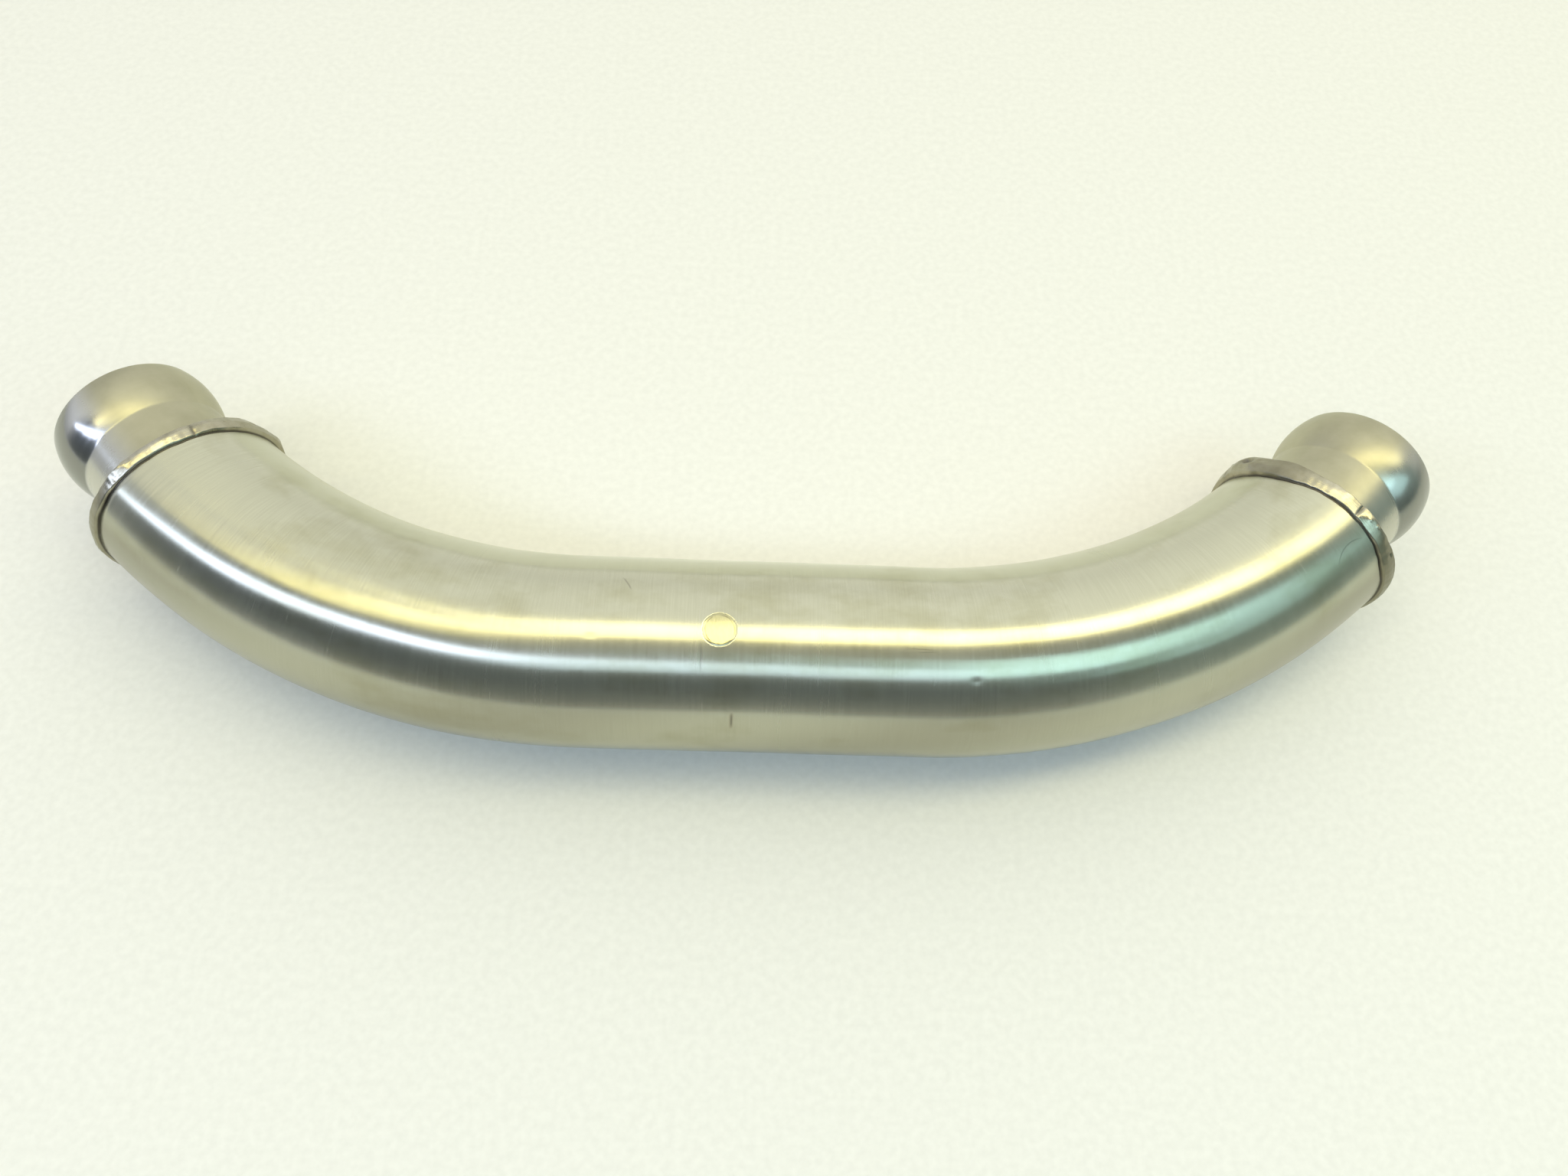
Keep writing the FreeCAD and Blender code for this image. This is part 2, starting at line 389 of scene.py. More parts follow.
def dressed_weld():
    """A plug weld ground flush: a little yellower than the tube, with swirls left by the grinding."""
    material, tree = new_material("ground_stainless_weld")
    place = add_node(tree, "Attribute", attribute_name="straightened").outputs["Vector"]
    swirl = add_node(tree, "Mapping", {
        "Vector": place, "Scale": per(0.35, 1.8, 1.8), "Rotation": (0, 0, SWIRL_TURN)})
    swirls = add_node(tree, "TexNoise", {
        "Vector": swirl.outputs[0], "Scale": 1.0, "Detail": 3.0, "Distortion": 0.6}).outputs["Fac"]
    colour = add_node(tree, "ValToRGB", {"Fac": swirls}, stops=[
        (0.30, linear("BAB78E")), (0.55, linear("BFBC96")), (0.75, linear("C4C19C"))])
    mark = add_node(tree, "Attribute", attribute_name="mark").outputs["Fac"]
    dark = add_node(tree, "Mix", {
        "Factor": mark, 6: colour.outputs["Color"], 7: linear("6A6046")}, data_type="RGBA")
    rough = add_node(tree, "MapRange", {"Value": swirls, "To Min": 0.20, "To Max": 0.28})
    relief = add_node(tree, "Bump", {"Height": swirls, "Strength": 0.1, "Distance": 0.03 * MILLIMETRE})
    tangent = add_node(tree, "Tangent", direction_type="UV_MAP", uv_map="along_and_round")
    steel = add_node(tree, "BsdfPrincipled", {
        "Base Color": dark.outputs[2], "Metallic": 1.0, "Roughness": rough.outputs[0], "Anisotropic": 0.7,
        "Normal": relief.outputs[0], "Tangent": tangent.outputs[0]})
    add_node(tree, "OutputMaterial", {"Surface": steel.outputs[0]})
    return material


def pipe_points(along, girth, radius):
    """Points of the bent pipe at radius from its centre line.

    along is measured on the centre line from its middle, and girth is the angle from the top towards the
    front. On a bend a point goes round the hub at its own distance from it, and its turn is stretched so that
    the last row lies in the plane that trims the pipe's end.
    """
    run = np.clip(np.abs(along), 0, HALF_RUN)
    share = np.clip((np.abs(along) - HALF_RUN) / BEND_LENGTH, 0, 1)
    from_hub = BEND_RADIUS + radius * np.sin(girth)
    turn = share * (AXIS + np.arcsin(BEND_RADIUS / from_hub * math.sin(BEND - AXIS)))
    x = np.sign(along) * (run + from_hub * np.sin(turn))
    y = BEND_RADIUS - from_hub * np.cos(turn)
    z = radius * np.cos(girth)
    return np.stack(np.broadcast_arrays(x, y, z), -1)


def straightened(along, girth, radius):
    """Where a point of the pipe would be, in metres, if its centre line was straight."""
    parts = np.broadcast_arrays(along, -radius * np.sin(girth), radius * np.cos(girth))
    return np.stack(parts, -1) * MILLIMETRE


# Marks on the tube: along the centre line, girth angle, half length along, half length round, depth, stain.
# Those near the plug share its fine rows.
MARKS_NEAR_PLUG = (
    (-14.6, 23.0, 0.25, 4.0, 0.03, 0.35),
    (-5.7, 60.5, 0.35, 2.6, 0.05, 0.70),
)
OTHER_MARKS = (
    (61.0, 32.0, 1.4, 1.0, 0.06, 0.10),
    (-45.0, 12.6, 1.6, 0.8, 0.02, 0.08),
)
# Slow waves in the tube's wall: height, length along for a radian, periods round the girth, phase in radians
TUBE_WAVES = ((0.035, 9.0, 2, 0.0), (0.03, 14.0, -3, 1.3), (0.02, 5.5, 1, 0.4))
WAVES_FADE = 12.0  # the waves die away over this length before each end
# Painted shade, darker low on the front: how strong, between which girth angles, and its own wave as above
FRONT_SHADE = 0.38
FRONT_SHADE_FROM = (42, 60)
FRONT_SHADE_TO = (95, 125)
FRONT_SHADE_WAVE = (0.3, 19.0, 3)
PLUG_SEAT_DEPTH = 0.45
PLUG_SEAT_EDGE = (PLUG_RADIUS + 0.15, PLUG_RADIUS + 0.40)
PLUG_SWELL = 0.10  # the tube stands up a little round the plug
PLUG_SWELL_REACH = 5.5
# How fine the mesh is: degrees round the girth, millimetres along, and how far the fine part reaches
GIRTH_STEP = 1.6
GIRTH_FINE_STEP = 0.55
GIRTH_FINE_REACH = 14.0
ROW_STEP = 2.0
ROW_FINE_STEP = 0.3
ROW_FINE_REACH = 7.0
BORE_ROWS = 72


def bent_tube(material):
    """The tube's wall: circles of the outside radius from end to end, over the lip, back along the bore.

    The outside has slow waves a few hundredths high, a seat under the plug weld, and small dents and marks.
    """
    girth = np.radians(crowded(-180, 180, GIRTH_STEP, GIRTH_FINE_STEP, (PLUG_LEAN,), GIRTH_FINE_REACH)[:-1])
    fine_places = (PLUG_PLACE, *[mark[0] for mark in OTHER_MARKS])
    outside = crowded(-HALF_LENGTH, HALF_LENGTH, ROW_STEP, ROW_FINE_STEP, fine_places, ROW_FINE_REACH)
    outside = np.unique(np.clip(outside, LIP_CHAMFER - HALF_LENGTH, HALF_LENGTH - LIP_CHAMFER))
    inside = np.linspace(HALF_LENGTH - LIP_CHAMFER, LIP_CHAMFER - HALF_LENGTH, BORE_ROWS)
    lips = np.full(2, HALF_LENGTH)
    along = np.concatenate([outside, lips, inside, -lips])[:, None]
    bore = TUBE_RADIUS - TUBE_WALL
    lip_radii = np.array([TUBE_RADIUS - LIP_CHAMFER, bore + LIP_CHAMFER])
    skin = np.concatenate([
        np.full(len(outside), TUBE_RADIUS), lip_radii, np.full(len(inside), bore), lip_radii[::-1]])
    is_outside = (np.arange(len(along)) < len(outside))[:, None]
    round_mm = girth[None, :] * TUBE_RADIUS
    slow = sum(
        height * np.cos(along / length + periods * girth + phase)
        for height, length, periods, phase in TUBE_WAVES)
    away_from_ends = ease(0, WAVES_FADE, HALF_LENGTH - np.abs(along))
    from_plug = np.hypot(along - PLUG_PLACE, round_mm - math.radians(PLUG_LEAN) * TUBE_RADIUS)
    seat = PLUG_SEAT_DEPTH * (1 - ease(*PLUG_SEAT_EDGE, from_plug))
    swell = PLUG_SWELL * np.exp(-(from_plug / PLUG_SWELL_REACH) ** 2)
    # The front band is painted shade. It darkens the colour low on the front and is added to the marks'
    # stains.
    low_front_shade = ease(*FRONT_SHADE_FROM, np.degrees(girth)) * (1 - ease(*FRONT_SHADE_TO, np.degrees(girth)))
    height, length, periods = FRONT_SHADE_WAVE
    stains_and_shade = FRONT_SHADE * low_front_shade * (1 + height * np.cos(along / length + periods * girth))
    pressed = np.zeros_like(from_plug)
    for place, angle, half_along, half_round, depth, stain in MARKS_NEAR_PLUG + OTHER_MARKS:
        away = ((along - place) / half_along) ** 2
        away = away + ((round_mm - math.radians(angle) * TUBE_RADIUS) / half_round) ** 4
        pressed += depth * np.exp(-away)
        stains_and_shade = stains_and_shade + stain * np.exp(-away)
    radius = skin[:, None] + is_outside * (away_from_ends * slow + swell - seat - pressed)
    uv = np.stack(np.broadcast_arrays(along, round_mm), -1) * MILLIMETRE
    return grid_piece(
        "bent_tube_brushed", "bent_tube", pipe_points(along, girth, radius), material, uv=uv,
        marks={"straightened": straightened(along, girth, radius), "mark": is_outside * stains_and_shade})


def end_points(side, along, ring, out):
    """Points about a ball end's axis: along it from the tube's end, at angle ring from the inside of the bend
    towards the top, and out from the axis. The left side (-1) is the right side's mirror image."""
    inwards = out * np.cos(ring)
    x = END_X + along * math.cos(AXIS) - inwards * math.sin(AXIS)
    y = END_Y + along * math.sin(AXIS) + inwards * math.cos(AXIS)
    return np.stack(np.broadcast_arrays(side * x, y, out * np.sin(ring)), -1)


SIDES_APART = 100.0  # the two ends read their patterns this far from the middle, so that they differ


def about_axis(side, along, ring, out):
    """A ball end's point about its own axis, in metres, for the patterns of its material."""
    parts = np.broadcast_arrays(along + SIDES_APART * side, out * np.cos(ring), out * np.sin(ring))
    return np.stack(parts, -1) * MILLIMETRE


def arc(centre, radius, first, last, count):
    """Points (along, out) on an arc between two directions in degrees from the axis."""
    turn = np.radians(np.linspace(first, last, count))
    return np.stack([centre[0] + radius * np.cos(turn), centre[1] + radius * np.sin(turn)], -1)


# How fine the ball ends' mesh is
SHOULDER_ROWS = 14
NECK_ROWS = 14
CREASE_ROWS = 10
BALL_ROWS = 60
LIP_ROWS = (0.06, 0.12, 0.88, 0.94)  # shares of the way over the lip, close to its two corners
STUB_COLUMNS = 224


def stub_outline(depth):
    """A ball end's outline (along, out) from rim to mouth, lying depth under its outside: a flat rim, the
    shoulder's arc, the straight neck, the crease's arc and the ball."""
    shoulder_centre = (STUB_WALL + SHOULDER_FILLET, NECK_RADIUS + SHOULDER_FILLET)
    crease_out = NECK_RADIUS + CREASE_FILLET
    crease_centre = (BALL_CENTRE - math.sqrt((BALL_RADIUS + CREASE_FILLET)**2 - crease_out**2), crease_out)
    to_crease = math.degrees(math.atan2(crease_out, crease_centre[0] - BALL_CENTRE))
    ball = BALL_RADIUS - depth
    to_mouth = math.degrees(math.acos(MOUTH_PAST_CENTRE / ball))
    shoulder = arc(shoulder_centre, SHOULDER_FILLET + depth, 180, 270, SHOULDER_ROWS)
    crease = arc(crease_centre, CREASE_FILLET + depth, 270, to_crease + 180, CREASE_ROWS)
    neck = np.linspace(shoulder[-1], crease[0], NECK_ROWS)[1:-1]
    globe = arc((BALL_CENTRE, 0), ball, to_crease, to_mouth, BALL_ROWS)[1:]
    return np.concatenate([shoulder, neck, crease, globe])


# The shinier flank with its painted sheen, and the painted shade below it: where each begins and is full,
# and where it ends, in degrees round the axis from the inside of the bend
RUBBED_SHEEN_FROM = (93, 119)
RUBBED_SHEEN_TO = (190, 225)
PAINTED_SHADE_FROM = (118, 138)
PAINTED_SHADE_TO = (250, 300)
PAINTED_SHADE_RISE = 2.0  # how much further up the painted shade reaches, in degrees a millimetre, past the ball's middle
BALL_FROM = (NECK_LENGTH - 1.0, NECK_LENGTH + 0.6)  # the ball's own shinier flank, sheen and painted shade begin along here
NECK_POLISH_AND_SHEEN = 0.6  # the neck's share of the ball's shine and sheen


def ball_end(name, side, polish_and_sheen, material):
    """A ball end: the outline of the outside, the lip, the inside back and the rim, turned about the axis."""
    outer = stub_outline(0)
    inner = stub_outline(STUB_WALL)[::-1]
    rim = np.array([
        (RIM_BEVEL, RIM_RADIUS), (STUB_WALL - RIM_BEVEL, RIM_RADIUS), (STUB_WALL, RIM_RADIUS - RIM_BEVEL)])
    lip = outer[-1] + (inner[0] - outer[-1]) * np.array(LIP_ROWS)[:, None]
    rim_back = np.array([(0.0, RIM_RADIUS - RIM_BEVEL)])
    outline = np.concatenate([rim, outer, lip, inner, rim_back])
    ring = np.linspace(0, ROUND, STUB_COLUMNS, endpoint=False)
    angle = np.degrees(ring)
    along, out = outline[:, :1], outline[:, 1:]
    on_ball = ease(*BALL_FROM, along)
    # The flank's mask lowers the roughness and also paints the colour paler as a sheen
    rubbed_and_sheen = ease(*RUBBED_SHEEN_FROM, angle) * (1 - ease(*RUBBED_SHEEN_TO, angle))
    rubbed_and_sheen = polish_and_sheen * rubbed_and_sheen * (NECK_POLISH_AND_SHEEN + (1 - NECK_POLISH_AND_SHEEN) * on_ball)
    raised = PAINTED_SHADE_RISE * np.maximum(along - BALL_CENTRE, 0)
    # Painted shade on the ball's lower flank, reaching further up past the ball's middle
    film_and_shade = ease(*PAINTED_SHADE_FROM, angle + raised) * (1 - ease(*PAINTED_SHADE_TO, angle)) * on_ball
    return grid_piece(
        name + "_satin", name, end_points(side, along, ring, out), material,
        marks={"straightened": about_axis(side, along, ring, out), "rubbed_and_sheen": rubbed_and_sheen, "film_and_shade": film_and_shade})


# Each bead, at angles from the inside of the bend over the top: where its edges lie along the ball end's
# axis, how high the middle of its near facet stands, how much of its width lies before the crest, how steeply
# the near facet rises to it and the far one falls from it, and how much heat film is left. Blobs are angle,
# place along, half width, half length and rise.
LEFT_BEAD = {
    "toe": {0: -0.9, 12: -1.0, 30: -1.2, 60: -1.0, 75: -1.4, 100: -0.7, 122: -0.2, 145: 0.1, 165: 0.0,
            200: -0.3, 270: -0.9, 330: -1.0},
    "far_edge": {0: 4.9, 12: 4.5, 30: 4.7, 45: 4.6, 60: 3.8, 75: 3.1, 100: 3.4, 122: 3.5, 145: 4.1, 165: 4.5,
                 200: 4.2, 270: 3.6, 330: 4.3},
    "height": {0: 1.8, 30: 1.6, 60: 1.2, 90: 1.0, 125: 0.9, 145: 1.0, 165: 1.2, 200: 1.3, 250: 1.5, 330: 1.6},
    "before_crest": {0: 0.45, 60: 0.5, 75: 0.58, 105: 0.58, 109: 0.9, 124: 0.9, 135: 0.5, 330: 0.45},
    "near_slope": {0: 0.25, 45: 0.30, 60: 0.36, 75: 0.34, 90: 0.25, 100: 0.22, 107: 0.24, 110: 0.40,
                   117: 0.26, 122: 0.08, 126: 0.0, 135: 0.05, 160: 0.20, 330: 0.25},
    "far_slope": {0: 0.30, 75: 0.30, 100: 0.25, 122: 0.10, 145: 0.15, 165: 0.30},
    "film_and_shade": {0: 0.5, 30: 0.5, 45: 0.4, 60: 0.3, 75: 0.0, 122: 0.0, 128: 0.55, 150: 0.6, 200: 0.5, 270: 0.6},
    "blobs": (
        (26, 2.4, 0.8, 1.0, -0.9), (13, 2.6, 0.9, 0.5, -0.5), (3, 2.0, 2.0, 2.6, 0.5),
        (66, 0.5, 3.0, 0.6, -0.35)),
    "seed": 31,
}
RIGHT_BEAD = {
    "toe": {0: -2.4, 12: -2.6, 30: -3.9, 45: -4.0, 60: -4.2, 75: -2.6, 100: -2.2, 122: -2.0, 145: -2.5,
            165: -1.0, 200: -1.2, 270: -1.8, 330: -2.4},
    "far_edge": {0: 3.4, 12: 4.2, 30: 4.6, 45: 3.0, 60: 3.5, 75: 2.1, 100: 3.2, 122: 2.9, 145: 4.3, 165: 4.4,
                 200: 4.0, 270: 3.4, 330: 3.8},
    "height": {0: 1.9, 25: 1.9, 45: 1.6, 60: 1.4, 78: 0.95, 104: 0.9, 130: 1.0, 150: 1.2, 200: 1.4, 250: 1.5,
               330: 1.7},
    "before_crest": {0: 0.45, 60: 0.5, 75: 0.58, 105: 0.58, 110: 0.65, 125: 0.65, 140: 0.5, 330: 0.45},
    "near_slope": {0: 0.35, 60: 0.30, 75: 0.30, 84: 0.27, 88: 0.21, 92: 0.13, 96: 0.05, 100: -0.06, 106: 0.0,
                   111: 0.40, 120: 0.25, 130: 0.12, 145: 0.20, 200: 0.30},
    "far_slope": {0: 0.10, 75: 0.06, 85: 0.02, 105: 0.02, 120: 0.10, 330: 0.10},
    "film_and_shade": {0: 0.5, 30: 0.4, 45: 0.7, 60: 0.65, 75: 0.15, 85: 0.0, 105: 0.0, 120: 0.3, 128: 0.8, 150: 0.9,
             200: 0.6},
    "blobs": (
        (25, 0.8, 3.4, 5.4, 0.9), (29, 0.9, 2.4, 3.4, 0.9), (29, 0.9, 1.2, 2.0, -1.9),
        (11, 0.6, 2.5, 0.6, -0.4), (20, -0.6, 0.7, 0.8, 0.3), (37, 1.9, 0.8, 0.9, 0.25),
        (40, 0.0, 0.9, 1.0, 0.25), (33, -1.8, 0.8, 1.2, 0.3), (16, 1.6, 0.7, 0.8, 0.25),
        (55, -1.5, 2.0, 4.0, 0.3), (104, 1.5, 3.0, 0.5, -0.3), (112, 0.8, 0.5, 0.7, 0.2),
        (118, 1.4, 0.5, 0.5, 0.2), (140, 2.2, 0.5, 0.6, -0.4)),
    "seed": 57,
}
# How far each of these is smoothed round the joint, in degrees
BEAD_BLUR = {
    "toe": 5.0, "far_edge": 5.0, "height": 7.0, "before_crest": 2.5, "near_slope": 2.5, "far_slope": 5.0,
    "film_and_shade": 3.0}
# How they wander then: swing, fewest and most waves a turn. Each line takes the seed after the last one's.
BEAD_WANDER = (
    ("toe", 0.10, 9, 40),
    ("far_edge", 0.12, 9, 40),
    ("height", 0.05, 5, 20),
    ("height", 0.02, 25, 90),
    ("before_crest", 0.05, 3, 10),
    ("near_slope", 0.03, 3, 9),
    ("far_slope", 0.04, 3, 9),
)
BEAD_ROWS = 44
BEAD_COLUMNS = 900
TOE_STEEPNESS = 2.0
FAR_STEEPNESS = 3.0
FACET_CRISPNESS = 9.0
BLOB_FADE = 0.6  # blobs fade out where the bead is lower than this
BEAD_LOWEST = 1.38  # the most that it may stand out below the tube
LEAST_DOWN = 0.1  # keeps that limit finite at the sides
# The thin skirt on the tube along the foot: its width, and its rows' places across and heights
BEAD_SKIRT = 0.4
SKIRT_PLACES = (1.0, 0.5)
SKIRT_HEIGHTS = (0.02, 0.06)
# The hidden underside: how deep its edges lie under the tube's outside, and how far it reaches past the far
# edge. Its rows under the overhang lie at a share of the way back to the rim, and those in the rim's wall at
# a place along, each with its depth.
UNDER_EDGE_DEPTH = 0.5
UNDER_LIP = 0.02
UNDER_OVERHANG = ((0.35, 1.8), (0.75, 2.8))
UNDER_RIM = ((STUB_WALL - 0.3, 3.2), (0.3, 2.3), (-0.4, 1.2))
# Painted shade along the foot and underneath, and darker pits: where the toe's dark line fades, how much
# darker pits are, how much shade lies underneath, and the most
TOE_LINE = (0.05, 0.30)
PIT_DARKENING = 0.7
UNDER_SHADE = 0.5
DARKEST = 0.9


def tube_out(along, ring):
    """How far out from the ball end's axis the tube's outside lies, where along is negative.

    Starts at the tube's radius and steps three times by what the point lacks of it as distance from the
    centre line.
    """
    out = np.full(np.broadcast(along, ring).shape, TUBE_RADIUS)
    for step in range(3):
        x, y, z = np.moveaxis(end_points(1, along, ring, out), -1, 0)
        from_line = np.hypot(np.hypot(x - HALF_RUN, y - BEND_RADIUS) - BEND_RADIUS, z)
        out = out + TUBE_RADIUS - from_line
    return out


def weld_bead(name, side, bead, material):
    """A hand-laid bead, filed here and there: a section of flat facets carried round the joint.

    The section is the lowest of four slopes, blended by the logarithm of a sum of exponentials: up from the
    toe, up to a crest, down from it, and down at the far edge. Height, crest and slopes wander slowly round
    the joint. Each blob adds a Gaussian rise or pit. A thin skirt lies on the tube along the foot, painted
    dark as shade, and the root is hidden in the walls.
    """
    ring = np.linspace(0, ROUND, BEAD_COLUMNS, endpoint=False)[None, :]
    measures = {key: through(ring, bead[key], blur) for key, blur in BEAD_BLUR.items()}
    for seed, (key, swing, fewest, most) in enumerate(BEAD_WANDER, start=bead["seed"]):
        measures[key] = measures[key] + swing * uneven(ring, fewest, most, seed)
    first, last, height = measures["toe"], measures["far_edge"], measures["height"]
    near_slope, far_slope = measures["near_slope"], measures["far_slope"]
    crest = first + measures["before_crest"] * (last - first)
    half_near = (crest - first) / 2
    along = first + np.linspace(0, 1, BEAD_ROWS)[:, None] * (last - first)
    slopes = np.stack([
        TOE_STEEPNESS * (along - first),
        height + near_slope * (along - first - half_near),
        height + near_slope * half_near - far_slope * (along - crest),
        FAR_STEEPNESS * (last - along)])
    top = -np.log(np.exp(-FACET_CRISPNESS * slopes).sum(0)) / FACET_CRISPNESS
    pits = np.zeros_like(top)
    for angle, place, half_width, half_length, rise in bead["blobs"]:
        turn = (np.degrees(ring) - angle + 180) % 360 - 180
        away = (np.radians(turn) * TUBE_RADIUS / half_length) ** 2 + ((along - place) / half_width) ** 2
        top = top + rise * np.exp(-away) * ease(0, BLOB_FADE, top)
        pits = pits + (rise < 0) * np.exp(-away)
    top_out = tube_out(np.minimum(along, 0), ring) + top
    foot = first - BEAD_SKIRT
    skirt = first - BEAD_SKIRT * np.array(SKIRT_PLACES)[:, None]
    skirt_out = tube_out(skirt, ring) + np.array(SKIRT_HEIGHTS)[:, None]
    under = [(last + UNDER_LIP, UNDER_EDGE_DEPTH)]
    under += [(last - share * (last - STUB_WALL), depth) for share, depth in UNDER_OVERHANG]
    under += [(np.full_like(ring, place), depth) for place, depth in UNDER_RIM]
    under_along = np.concatenate([*[row for row, depth in under], foot])
    under_out = [np.full_like(ring, TUBE_RADIUS - depth) for row, depth in under]
    under_out = np.concatenate([*under_out, tube_out(foot, ring) - UNDER_EDGE_DEPTH])
    all_along = np.concatenate([skirt, along, under_along])
    all_out = np.concatenate([skirt_out, top_out, under_out])
    lowest = (TUBE_RADIUS + BEAD_LOWEST) / np.maximum(-np.sin(ring), LEAST_DOWN)
    all_out = np.where(np.sin(ring) < 0, np.minimum(all_out, lowest), all_out)
    # The skirt, the toe's line and the underside are painted dark as shade; pits are painted darker
    dark = np.maximum(1 - ease(*TOE_LINE, along - first), PIT_DARKENING * pits)
    mark = DARKEST * np.concatenate([np.ones_like(skirt), dark, np.full_like(under_along, UNDER_SHADE)])
    film_and_shade = np.broadcast_to(measures["film_and_shade"], all_along.shape)
    return grid_piece(
        name + "_laid", name, end_points(side, all_along, ring, all_out), material,
        marks={"straightened": about_axis(side, all_along, ring, all_out), "mark": mark, "film_and_shade": film_and_shade})


PLUG_FLATNESS = 0.6  # 1 would be ground flat, 0 follows the tube
PLUG_SUNK = 0.07  # the ground face's middle lies this much lower, and its front and back edges stand out
PLUG_HAIR = 0.012  # the edge that runs out on the tube
PLUG_GROOVE = 4.1  # the hairline groove's distance from the middle
GROOVE_HALF_WIDTH = 0.12
GROOVE_DEPTH = 0.02
GROOVE_STAIN = 0.85
# How open the groove is on the whole, how much that swings round the plug, and how much the plug's outline
# swings. The waves of a swing are the fewest and most a turn, and its seed.
GROOVE_OPEN = 0.40
GROOVE_SWING = 0.7
GROOVE_WAVES = (1, 9, 5)
PLUG_WOBBLE = 0.012
WOBBLE_WAVES = (2, 9, 8)
# The collar outside the groove: where its edge begins to turn down, where it ends, and how deep
COLLAR_TURNS = PLUG_RADIUS + 0.40
COLLAR_ENDS = PLUG_RADIUS + 0.62
COLLAR_TUCK = 0.05
GROUND_ENDS = PLUG_RADIUS + 0.5  # the flat grinding runs out between the groove and here
# The hidden root: distance outside the plug's radius, and depth under the tube's outside
PLUG_ROOT = ((0.60, 0.5), (0.0, 1.2), (-0.4, 1.6), (-0.8, 2.0), (-2.3, 2.1))
# Where the rings of the face, the groove and the collar lie, and how many there are
FACE_RINGS = (0.3, PLUG_GROOVE - 0.35, 16)
GROOVE_RINGS = (PLUG_GROOVE - 0.27, PLUG_GROOVE + 0.27, 15)
COLLAR_RINGS = (PLUG_GROOVE + 0.33, COLLAR_ENDS, 9)
PLUG_COLUMNS = 144


def plug_weld(material):
    """The ground plug: rings about its middle, flatter across than the tube, with a broken hairline groove
    and a thin edge that runs out on the tube, then down through the wall to the root inside."""
    angle = np.linspace(0, ROUND, PLUG_COLUMNS, endpoint=False)[None, :]
    shown = [np.linspace(*rings) for rings in (FACE_RINGS, GROOVE_RINGS, COLLAR_RINGS)]
    root_reach, root_depth = np.array(PLUG_ROOT).T
    reach = np.concatenate([*shown, PLUG_RADIUS + root_reach])[:, None]
    wobbly = reach * (1 + PLUG_WOBBLE * uneven(angle, *WOBBLE_WAVES))
    across = wobbly * np.sin(angle)
    ground = PLUG_FLATNESS * across**2 / (2 * TUBE_RADIUS) - PLUG_SUNK
    ground = ground * (1 - ease(PLUG_GROOVE, GROUND_ENDS, reach))
    open_groove = np.clip(GROOVE_OPEN + GROOVE_SWING * uneven(angle, *GROOVE_WAVES), 0, 1)
    dip = np.exp(-((reach - PLUG_GROOVE) / GROOVE_HALF_WIDTH) ** 2) * open_groove
    edge = ease(COLLAR_TURNS, COLLAR_ENDS, reach)
    swell = PLUG_SWELL * np.exp(-(reach / PLUG_SWELL_REACH) ** 2)
    height = swell + ground + PLUG_HAIR - GROOVE_DEPTH * dip - COLLAR_TUCK * edge
    height[-len(PLUG_ROOT):] = -root_depth[:, None]
    along = PLUG_PLACE + wobbly * np.cos(angle)
    lean = math.radians(PLUG_LEAN)
    girth = lean + across / TUBE_RADIUS
    radius = TUBE_RADIUS + height
    pole_radii = (TUBE_RADIUS + PLUG_SWELL - PLUG_SUNK + PLUG_HAIR, TUBE_RADIUS - root_depth[-1])
    poles = [pipe_points(PLUG_PLACE, lean, pole_radius) for pole_radius in pole_radii]
    mark = GROOVE_STAIN * dip
    mark[-len(PLUG_ROOT):] = 0
    return grid_piece(
        "plug_weld_ground", "plug_weld", pipe_points(along, girth, radius), material,
        poles=poles, uv=np.stack([along, girth * TUBE_RADIUS], -1) * MILLIMETRE,
        marks={"straightened": straightened(along, girth, radius), "mark": mark})


# How shiny each ball's flank is, and how much sheen is painted on it
LEFT_POLISH_AND_SHEEN = 1.0
RIGHT_POLISH_AND_SHEEN = 0.75


def pipe():
    """All six pieces."""
    bent_tube(brushed_stainless())
    satin = satin_stainless()
    ball_end("left_ball_end", -1, LEFT_POLISH_AND_SHEEN, satin)
    ball_end("right_ball_end", 1, RIGHT_POLISH_AND_SHEEN, satin)
    weld = weld_metal()
    weld_bead("left_weld_bead", -1, LEFT_BEAD, weld)
    weld_bead("right_weld_bead", 1, RIGHT_BEAD, weld)
    plug_weld(dressed_weld())


FLOOR_HALF = 6.0  # in metres
FLOOR_GRAIN = 2.5


def floor():
    """A wide pale sheet at the level that the pipe lies on."""
    material, tree = new_material("pale_floor")
    place = add_node(tree, "TexCoord").outputs["Object"]
    grain = add_node(tree, "TexNoise", {"Vector": place, "Scale": per(FLOOR_GRAIN)[0], "Detail": 2.0})
    colour = add_node(tree, "ValToRGB", {"Fac": grain.outputs["Fac"]}, stops=[
        (0.3, linear("EDEDE8")), (0.7, linear("F3F3EE"))])
    sheet = add_node(tree, "BsdfPrincipled", {"Base Color": colour.outputs["Color"], "Roughness": 0.8})
    add_node(tree, "OutputMaterial", {"Surface": sheet.outputs[0]})
    mesh = bpy.data.meshes.new("floor")
    edge = np.array([-FLOOR_HALF, FLOOR_HALF])
    corners = np.stack([*np.meshgrid(edge, edge), np.zeros((2, 2))], -1).reshape(-1, 3)
    mesh.from_pydata(corners, [], [(0, 1, 3, 2)])
    mesh.materials.append(material)
    sheet_object = bpy.data.objects.new("floor", mesh)
    bpy.context.scene.collection.objects.link(sheet_object)


LAMP_HEIGHT = 1.8  # in metres
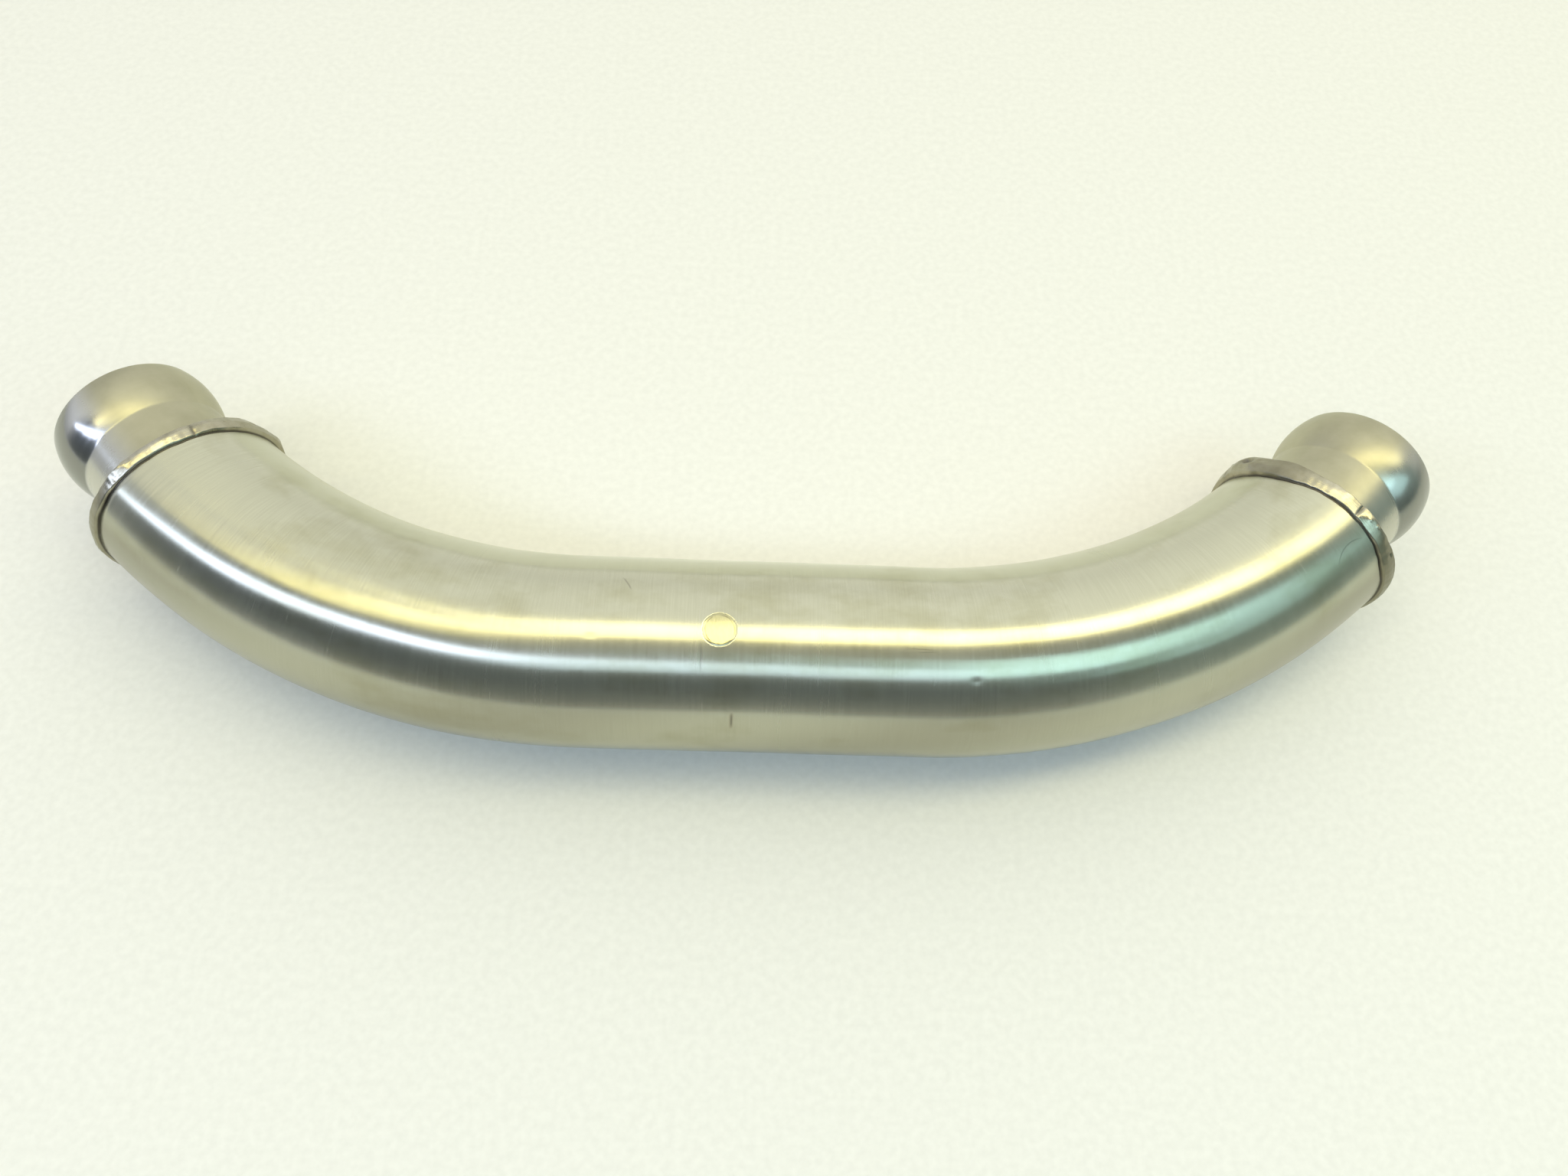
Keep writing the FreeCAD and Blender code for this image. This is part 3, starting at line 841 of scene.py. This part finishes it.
# Strip lamps under the ceiling: both ends and the width, for a ceiling one unit high, colour and radiance
LAMPS = {
    "warm_overhead": ((-0.22, 0.025), (1.15, 0.28), 0.28, "FFF3B6", 3.2),
    "warm_end": ((-0.84, -0.235), (-0.29, -0.015), 0.18, "FFF3B6", 3.6),
    "cool_front_left": ((-2.70, -0.12), (-0.36, -0.68), 0.24, "CFDBFF", 4.2),
    "cool_window": ((-1.75, -0.50), (-0.95, -0.70), 0.15, "CFDBFF", 4.2),
    "cool_front_middle": ((-0.38, -0.75), (0.30, -0.77), 0.34, "CBE2FF", 1.65),
    "cool_front_right": ((0.30, -0.62), (1.00, -0.56), 0.48, "C3F2FF", 1.95),
    "cool_far_right": ((1.00, -0.72), (2.20, -0.72), 1.05, "C2F3FF", 0.7),
}


def lamp(name, start, end, width, colour, radiance):
    """A strip lamp that shines down from the ceiling."""
    start, end = np.array(start) * LAMP_HEIGHT, np.array(end) * LAMP_HEIGHT
    light = bpy.data.lights.new(name, "AREA")
    light.shape = "RECTANGLE"
    light.size = np.linalg.norm(end - start)
    light.size_y = width * LAMP_HEIGHT
    light.color = linear(colour)[:3]
    light.energy = radiance * math.pi * light.size * light.size_y
    lit = bpy.data.objects.new(name, light)
    lit.location = (*((start + end) / 2), LAMP_HEIGHT)
    lit.rotation_euler = (0, 0, math.atan2(end[1] - start[1], end[0] - start[0]))
    bpy.context.scene.collection.objects.link(lit)


# The walls' light as linear red, green, blue and alpha, at heights from the horizon (0) to straight up (1)
FRONT_WALL = (
    (0.0, (0.46, 0.48, 0.45, 1)), (0.07, (0.36, 0.38, 0.36, 1)), (0.18, (0.25, 0.27, 0.27, 1)),
    (0.35, (0.17, 0.19, 0.20, 1)), (0.55, (0.15, 0.175, 0.19, 1)), (0.82, (0.24, 0.25, 0.25, 1)),
    (0.93, (0.46, 0.46, 0.42, 1)))
BACK_WALL = ((0.0, (1.03, 1.03, 0.96, 1)), (0.3, (0.95, 0.95, 0.89, 1)), (0.75, (1.14, 1.14, 1.05, 1)))
RIGHT_WALL = (0.38, 0.47, 0.45, 1)
# What is left of it from the far left (0) to the far right (1)
DIMMER = (
    (0.03, (0.70, 0.72, 0.84, 1)), (0.27, (0.82, 0.82, 0.84, 1)), (0.52, (1.0, 1.0, 1.0, 1)),
    (0.84, (1.0, 1.0, 1.0, 1)), (0.95, (0.60, 0.62, 0.62, 1)))
# Where the front wall turns into the right one and into the back one, as parts of the direction, and how much
# further forward the back one reaches on the left
RIGHT_WALL_FROM = 0.5
RIGHT_WALL_TO = 0.9
BACK_WALL_FROM = -0.12
BACK_WALL_TO = 0.22
BACK_WALL_TURN = -0.12


def studio():
    """A warm strip overhead, a cool strip in front that is brighter on the left, and a room that is pale
    behind the pipe and dim in front of it, a little less dim at the horizon, overhead and on the right."""
    for name, strip in LAMPS.items():
        lamp(name, *strip)
    world = bpy.data.worlds.new("room")
    bpy.context.scene.world = world
    world.use_nodes = True
    tree = world.node_tree
    tree.nodes.clear()
    direction = add_node(tree, "TexCoord").outputs["Generated"]
    parts = add_node(tree, "SeparateXYZ", {0: direction}).outputs
    front = add_node(tree, "ValToRGB", {"Fac": parts["Z"]}, stops=FRONT_WALL)
    back = add_node(tree, "ValToRGB", {"Fac": parts["Z"]}, stops=BACK_WALL)
    to_right = add_node(tree, "MapRange", {
        "Value": parts["X"], "From Min": RIGHT_WALL_FROM, "From Max": RIGHT_WALL_TO})
    sides = add_node(tree, "Mix", {
        "Factor": to_right.outputs[0], 6: front.outputs["Color"], 7: RIGHT_WALL}, data_type="RGBA")
    aslant = add_node(tree, "Math", {
        0: parts["X"], 1: BACK_WALL_TURN, 2: parts["Y"]}, operation="MULTIPLY_ADD")
    to_back = add_node(tree, "MapRange", {
        "Value": aslant.outputs[0], "From Min": BACK_WALL_FROM, "From Max": BACK_WALL_TO},
        interpolation_type="SMOOTHSTEP")
    room = add_node(tree, "Mix", {
        "Factor": to_back.outputs[0], 6: sides.outputs[2], 7: back.outputs["Color"]}, data_type="RGBA")
    across = add_node(tree, "MapRange", {"Value": parts["X"], "From Min": -1.0, "From Max": 1.0})
    dimmer = add_node(tree, "ValToRGB", {"Fac": across.outputs[0]}, stops=DIMMER)
    dimmed = add_node(tree, "Mix", {
        "Factor": 1.0, 6: room.outputs[2], 7: dimmer.outputs["Color"]},
        data_type="RGBA", blend_type="MULTIPLY")
    light = add_node(tree, "Background", {"Color": dimmed.outputs[2], "Strength": 1.0})
    add_node(tree, "OutputWorld", {"Surface": light.outputs[0]})


# The camera: where it looks, from how far, and how it is turned
LOOKS_AT = (9.107, 22.98, 0.0)
CAMERA_DISTANCE = 346.0
CAMERA_AZIMUTH = -5.36
CAMERA_ELEVATION = 65.0
CAMERA_ROLL = 6.80
CAMERA_LENS = 25.73
SENSOR_WIDTH = 36.0


def camera():
    """The photo's camera, as fitted to the outlines of the tube and the balls."""
    azimuth, elevation = math.radians(CAMERA_AZIMUTH), math.radians(CAMERA_ELEVATION)
    level = math.cos(elevation)
    back = Vector((math.sin(azimuth) * level, -math.cos(azimuth) * level, math.sin(elevation)))
    right = Vector((0, 0, 1)).cross(back).normalized()
    up = back.cross(right)
    turned = Matrix((right, up, back)).transposed() @ Matrix.Rotation(math.radians(CAMERA_ROLL), 3, "Z")
    data = bpy.data.cameras.new("photo_camera")
    data.sensor_fit = "HORIZONTAL"
    data.sensor_width = SENSOR_WIDTH
    data.lens = CAMERA_LENS
    eye = bpy.data.objects.new("photo_camera", data)
    place = Vector(to_frame(np.array(LOOKS_AT) + CAMERA_DISTANCE * np.array(back)))
    eye.matrix_world = Matrix.Translation(place) @ turned.to_4x4()
    bpy.context.scene.collection.objects.link(eye)
    bpy.context.scene.camera = eye


bpy.context.scene.view_settings.view_transform = "Standard"
pipe()
floor()
studio()
camera()
